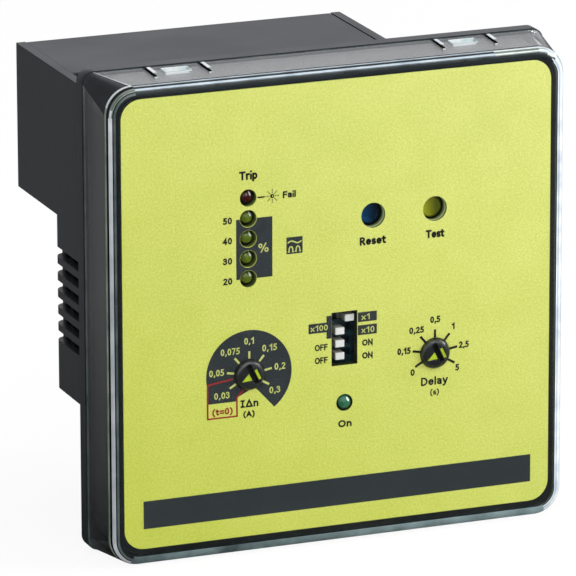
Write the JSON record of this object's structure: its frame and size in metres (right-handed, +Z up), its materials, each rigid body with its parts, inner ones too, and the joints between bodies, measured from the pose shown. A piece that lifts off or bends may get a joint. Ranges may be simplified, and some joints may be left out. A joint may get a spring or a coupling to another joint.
{
  "type": "earth leakage relay",
  "caption": "Flush-mounting earth leakage relay with a square front, lamps, setting dials and code switches under a clear clip-on cover, and a stepped vented housing behind the panel.",
  "frame": {"origin": "middle of the square flange's rear face, which lies on the front of the panel", "axes": "+X to the right as seen from the front, +Y into the panel, +Z up"},
  "size_m": [0.096, 0.0586, 0.096],
  "materials": {
    "charcoal_plastic": "fine satin texture",
    "lime_face": "satin printed face",
    "clear_plastic": "clear and glossy",
    "blue_button": "glossy",
    "olive_button": "glossy",
    "black_plastic": "matt",
    "white_plastic": "satin",
    "knob_plastic": "semi-gloss",
    "red_lamp": "tinted, unlit",
    "green_lamp": "tinted, unlit",
    "board_laminate": "solder mask",
    "zinc_steel": "zinc plated",
    "core_steel": "stacked plates",
    "cream_plastic": "matt",
    "copper_wire": "enamelled",
    "blue_sleeve": "shrunk sleeve",
    "green_block": "matt"
  },
  "bodies": {
    "housing": {"front_frame": "charcoal_plastic", "face_plate": "lime_face", "rear_case": "charcoal_plastic", "top_lid": "charcoal_plastic", "push_switches": "black_plastic", "code_switch": "black_plastic", "current_selector": "black_plastic", "delay_selector": "black_plastic", "trip_lamp": "red_lamp", "level_lamps": "green_lamp", "supply_lamp": "green_lamp", "lamp_spacers": "black_plastic", "front_board": "board_laminate", "board_screws": "zinc_steel", "case_screws": "zinc_steel", "power_board": "board_laminate", "board_header": "black_plastic", "transformer_core": "core_steel", "transformer_bobbin": "cream_plastic", "transformer_winding": "copper_wire", "output_relays": "black_plastic", "supply_capacitors": "blue_sleeve", "terminal_board": "board_laminate", "terminal_blocks": "green_block", "terminal_screws": "zinc_steel", "terminal_clamps": "zinc_steel"},
    "cover": {"clear_cover": "clear_plastic"},
    "reset": {"reset_button": "blue_button", "reset_plunger": "black_plastic"},
    "test": {"test_button": "olive_button", "test_plunger": "black_plastic"},
    "code_1": {"slider_1": "white_plastic"},
    "code_2": {"slider_2": "white_plastic"},
    "code_3": {"slider_3": "white_plastic"},
    "code_4": {"slider_4": "white_plastic"},
    "current_dial": {"current_knob": "knob_plastic"},
    "delay_dial": {"delay_knob": "knob_plastic"}
  },
  "joints": [
    {"name": "cover_off", "type": "slide", "parent": "housing", "child": "cover", "axis": [0, -1, 0], "range_m": [0, 0.02]},
    {"name": "reset_push", "type": "slide", "parent": "housing", "child": "reset", "axis": [0, 1, 0], "range_m": [0, 0.0005], "stiffness_N_per_m": 1500},
    {"name": "test_push", "type": "slide", "parent": "housing", "child": "test", "axis": [0, 1, 0], "range_m": [0, 0.0005], "stiffness_N_per_m": 1500},
    {"name": "code_1_slide", "type": "slide", "parent": "housing", "child": "code_1", "axis": [1, 0, 0], "range_m": [-0.002, 0]},
    {"name": "code_2_slide", "type": "slide", "parent": "housing", "child": "code_2", "axis": [1, 0, 0], "range_m": [0, 0.002]},
    {"name": "code_3_slide", "type": "slide", "parent": "housing", "child": "code_3", "axis": [1, 0, 0], "range_m": [0, 0.002]},
    {"name": "code_4_slide", "type": "slide", "parent": "housing", "child": "code_4", "axis": [1, 0, 0], "range_m": [0, 0.002]},
    {"name": "current_turn", "type": "hinge", "parent": "housing", "child": "current_dial", "pos_m": [-0.0186, -0.0125, -0.0121], "axis": [0, 1, 0], "range_deg": [0, 236]},
    {"name": "delay_turn", "type": "hinge", "parent": "housing", "child": "delay_dial", "pos_m": [0.0202, -0.0125, -0.0121], "axis": [0, 1, 0], "range_deg": [0, 236]}
  ]
}
